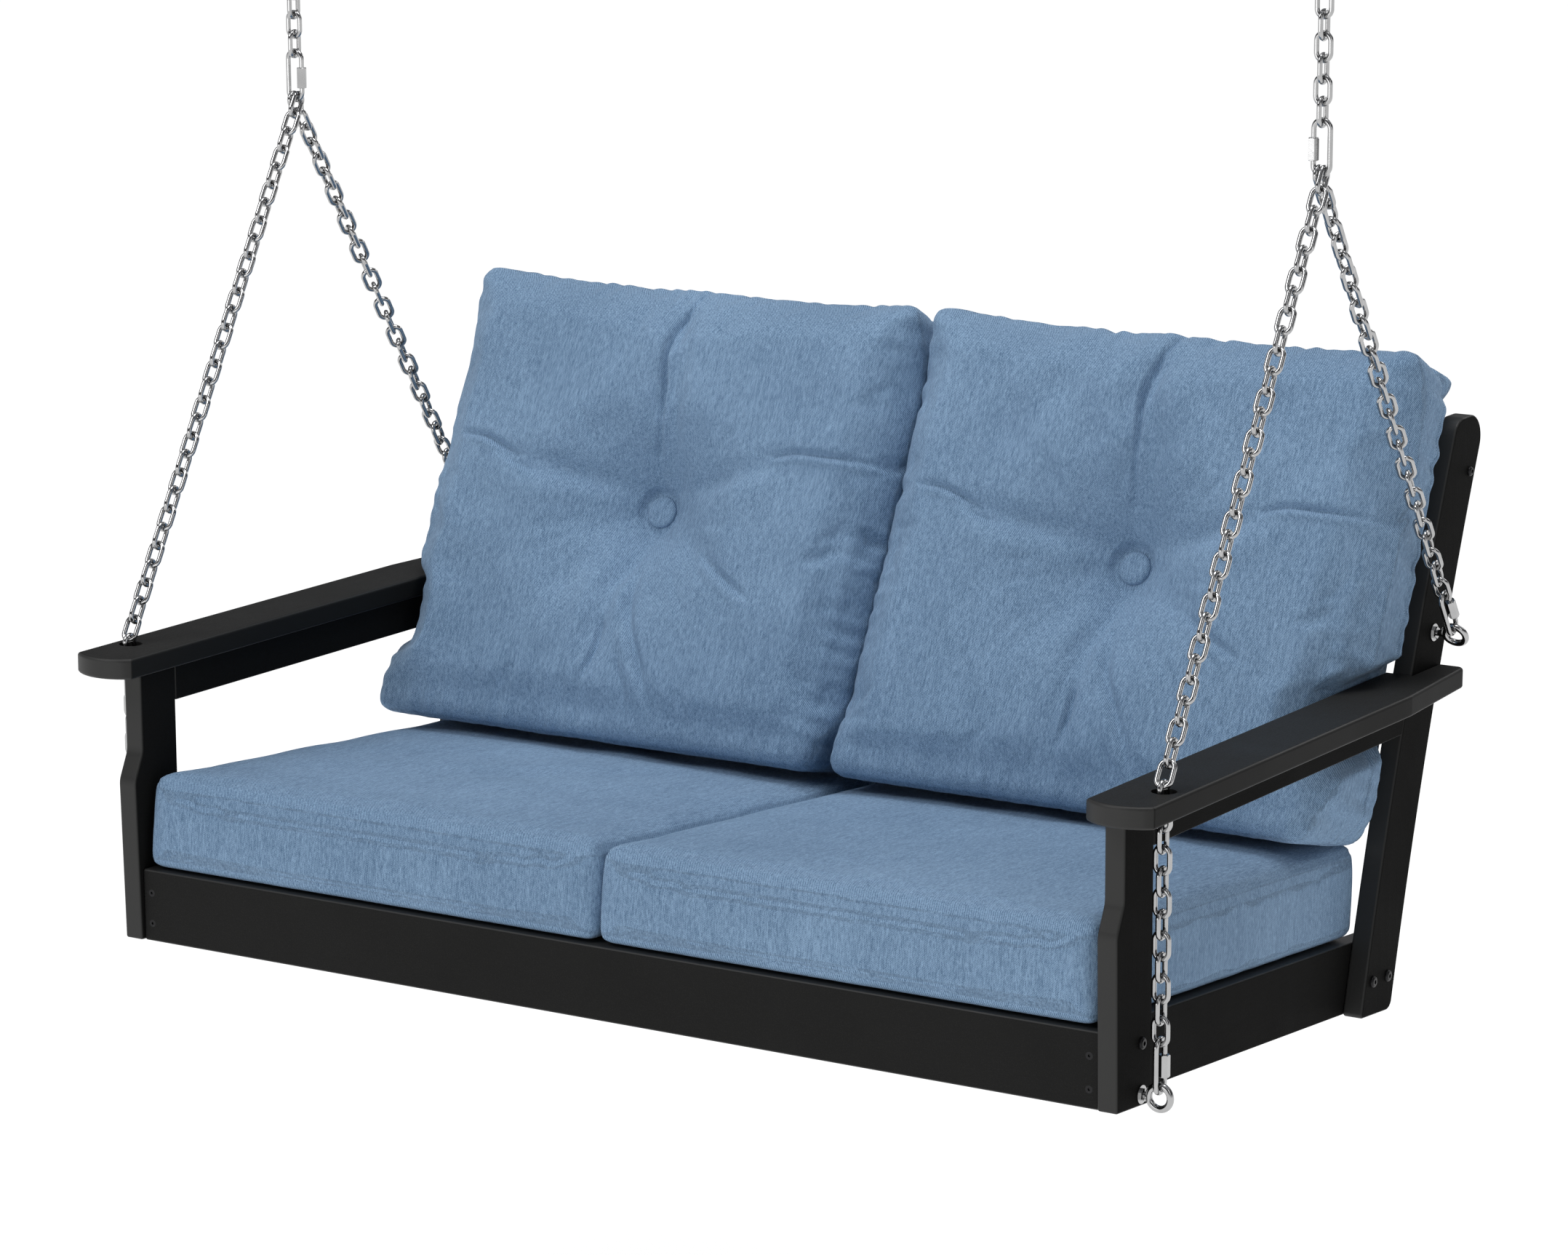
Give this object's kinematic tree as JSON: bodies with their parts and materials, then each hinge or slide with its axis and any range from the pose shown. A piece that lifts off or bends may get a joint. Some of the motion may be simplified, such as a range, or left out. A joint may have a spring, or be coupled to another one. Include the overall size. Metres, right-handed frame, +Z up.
{
  "type": "porch swing seat",
  "caption": "Bench-width porch swing: black slatted plastic-lumber frame with arms, loose seat and tufted back cushions, hung from the ceiling on link chains with quick links",
  "frame": {"origin": "centre of the rectangle of four ceiling bolt holes, on the plates' upper faces, where they meet the ceiling", "axes": "+Z up, +X along the seat, towards its right-hand end as seen from the front, +Y towards the seat's back; X is the seat's long direction"},
  "size_m": [1.5, 0.9635, 1.3227],
  "materials": {
    "black_lumber": "matte",
    "black_fasteners": "satin",
    "chain_steel": "gloss",
    "bright_steel": "gloss",
    "cushion_fabric": "matte"
  },
  "bodies": {
    "ceiling": {"ceiling_plate_left": "bright_steel", "ceiling_plate_right": "bright_steel"},
    "upper_chains": {"upper_chain_left": "chain_steel", "upper_chain_right": "chain_steel", "top_quick_links": "bright_steel"},
    "seat": {"arm_left": "black_lumber", "arm_rail_left": "black_lumber", "arm_rail_right": "black_lumber", "arm_right": "black_lumber", "back_buttons": "cushion_fabric", "back_cushion_left": "cushion_fabric", "back_cushion_right": "cushion_fabric", "back_leg_left": "black_lumber", "back_leg_right": "black_lumber", "back_screws": "black_fasteners", "back_slat_1": "black_lumber", "back_slat_2": "black_lumber", "back_slat_3": "black_lumber", "back_slat_4": "black_lumber", "back_slat_5": "black_lumber", "back_slat_6": "black_lumber", "back_slat_7": "black_lumber", "back_top_rail": "black_lumber", "eye_bolt_nuts": "bright_steel", "frame_bolts": "black_fasteners", "frame_screws": "black_fasteners", "front_apron": "black_lumber", "front_chain_left": "chain_steel", "front_chain_right": "chain_steel", "front_eye_bolts": "bright_steel", "front_post_left": "black_lumber", "front_post_right": "black_lumber", "front_quick_links": "bright_steel", "rear_apron": "black_lumber", "rear_chain_left": "chain_steel", "rear_chain_right": "chain_steel", "rear_eye_bolts": "bright_steel", "rear_quick_links": "bright_steel", "seat_bearer": "black_lumber", "seat_cleat_left": "black_lumber", "seat_cleat_right": "black_lumber", "seat_cushion_left": "cushion_fabric", "seat_cushion_right": "cushion_fabric", "seat_screws": "black_fasteners", "seat_slat_1": "black_lumber", "seat_slat_2": "black_lumber", "seat_slat_3": "black_lumber", "seat_slat_4": "black_lumber", "seat_slat_5": "black_lumber", "seat_slat_6": "black_lumber", "seat_slat_7": "black_lumber", "side_apron_left": "black_lumber", "side_apron_right": "black_lumber"},
    "top_sleeve_left": {"top_sleeve_left": "bright_steel"},
    "top_sleeve_right": {"top_sleeve_right": "bright_steel"},
    "front_sleeve_left": {"front_sleeve_left": "bright_steel"},
    "front_sleeve_right": {"front_sleeve_right": "bright_steel"},
    "rear_sleeve_left": {"rear_sleeve_left": "bright_steel"},
    "rear_sleeve_right": {"rear_sleeve_right": "bright_steel"}
  },
  "joints": [
    {"name": "ceiling_swing", "type": "hinge", "parent": "ceiling", "child": "upper_chains", "pos_m": [0, 0, -0.0389], "axis": [1, 0, 0], "range_deg": [-30, 30]},
    {"name": "seat_tilt", "type": "hinge", "parent": "upper_chains", "child": "seat", "pos_m": [0, 0, -0.2653], "axis": [1, 0, 0], "range_deg": [-12, 12]},
    {"name": "top_sleeve_left_slide", "type": "slide", "parent": "upper_chains", "child": "top_sleeve_left", "axis": [0, 0, 1], "range_m": [0, 0.008]},
    {"name": "top_sleeve_right_slide", "type": "slide", "parent": "upper_chains", "child": "top_sleeve_right", "axis": [0, 0, 1], "range_m": [0, 0.008]},
    {"name": "front_sleeve_left_slide", "type": "slide", "parent": "seat", "child": "front_sleeve_left", "axis": [0, 0, 1], "range_m": [0, 0.008]},
    {"name": "front_sleeve_right_slide", "type": "slide", "parent": "seat", "child": "front_sleeve_right", "axis": [0, 0, 1], "range_m": [0, 0.008]},
    {"name": "rear_sleeve_left_slide", "type": "slide", "parent": "seat", "child": "rear_sleeve_left", "axis": [0.0025, -0.5347, 0.845], "range_m": [0, 0.008]},
    {"name": "rear_sleeve_right_slide", "type": "slide", "parent": "seat", "child": "rear_sleeve_right", "axis": [-0.012, -0.5347, 0.845], "range_m": [0, 0.008]}
  ]
}
